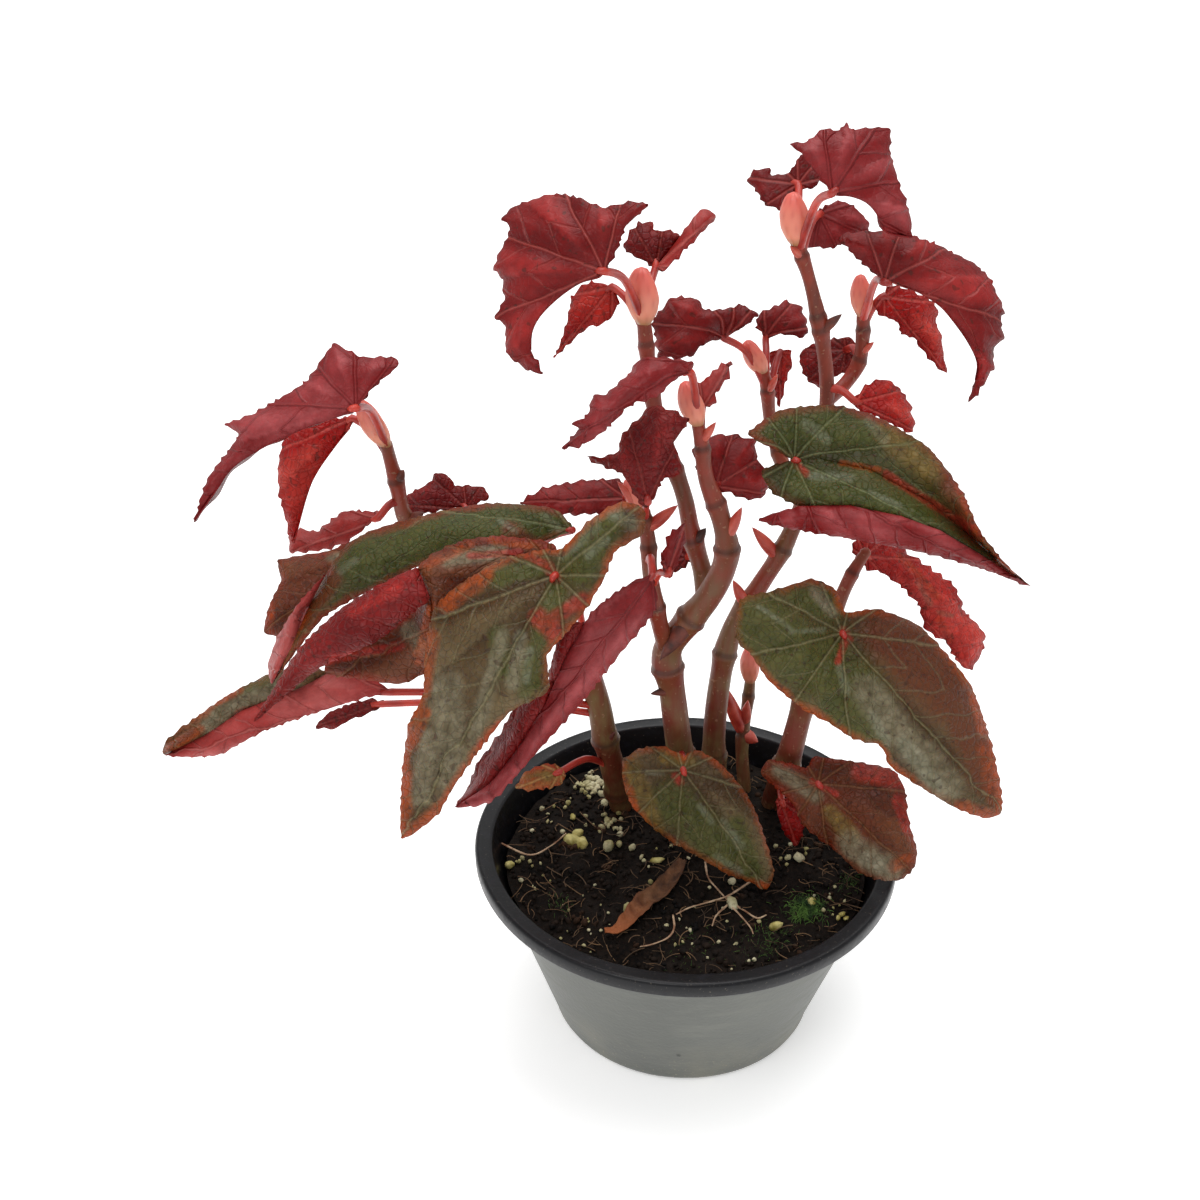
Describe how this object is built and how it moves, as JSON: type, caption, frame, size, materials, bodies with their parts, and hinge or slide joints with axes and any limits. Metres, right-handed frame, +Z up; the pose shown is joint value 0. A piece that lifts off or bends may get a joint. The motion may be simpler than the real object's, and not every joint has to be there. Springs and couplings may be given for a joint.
{
  "type": "potted begonia",
  "caption": "Cane begonia with drooping red and olive angel-wing leaves on jointed canes, standing in a shallow round black nursery pot of soil.",
  "frame": {"origin": "centre of the pot's flat underside, on the surface it stands on", "axes": "+Z up along the pot's axis, -Y toward the viewer of the picture, +X to the viewer's right"},
  "size_m": [0.2782, 0.1631, 0.3295],
  "materials": {
    "pot_plastic": "satin black plastic, dusty and scuffed below the rim",
    "potting_soil": null,
    "cane": "red-brown fleshy cane with ringed joints",
    "bud_sheath": "thin pink papery sheath",
    "leaf": "waxy veined leaf, olive to deep red above and red below"
  },
  "bodies": {
    "root": {"pot": "pot_plastic", "soil": "potting_soil", "centre_shoot": "cane", "left_cane": "cane", "middle_cane": "cane", "right_cane": "cane", "right_side_shoot": "cane", "right_top_cane": "cane", "short_cane": "cane", "upper_left_cane": "cane", "young_cane": "cane", "centre_bud": "bud_sheath", "left_bud": "bud_sheath", "middle_bud": "bud_sheath", "right_shoot_bud": "bud_sheath", "right_top_bud": "bud_sheath", "short_cane_bud": "bud_sheath", "upper_left_bud": "bud_sheath", "young_bud": "bud_sheath", "back_centre_leaf": "leaf", "back_left_leaf": "leaf", "centre_folded_leaf": "leaf", "centre_hanging_leaf": "leaf", "centre_left_wing_leaf": "leaf", "centre_right_wing_leaf": "leaf", "centre_upright_leaf": "leaf", "far_left_leaf": "leaf", "front_left_leaf": "leaf", "front_rolled_leaf": "leaf", "inner_back_leaf": "leaf", "inner_dark_leaf": "leaf", "left_arching_leaf": "leaf", "left_crown_leaf": "leaf", "left_crown_young_leaf": "leaf", "left_pink_leaf": "leaf", "left_red_fold_leaf": "leaf", "low_left_leaf": "leaf", "low_left_sprout_leaf": "leaf", "middle_crown_leaf": "leaf", "middle_crown_side_leaf": "leaf", "right_crown_leaf": "leaf", "right_crown_young_leaf": "leaf", "right_front_leaf": "leaf", "right_green_leaf": "leaf", "right_ruffled_leaf": "leaf", "right_shoot_back_leaf": "leaf", "right_shoot_low_leaf": "leaf", "soil_centre_leaf": "leaf", "soil_left_leaf": "leaf", "soil_right_leaf": "leaf", "soil_sprout_leaf": "leaf", "top_left_back_leaf": "leaf", "top_left_crown_leaf": "leaf", "top_left_hanging_leaf": "leaf", "top_right_back_leaf": "leaf", "top_right_crown_leaf": "leaf", "top_right_left_leaf": "leaf"}
  },
  "joints": []
}
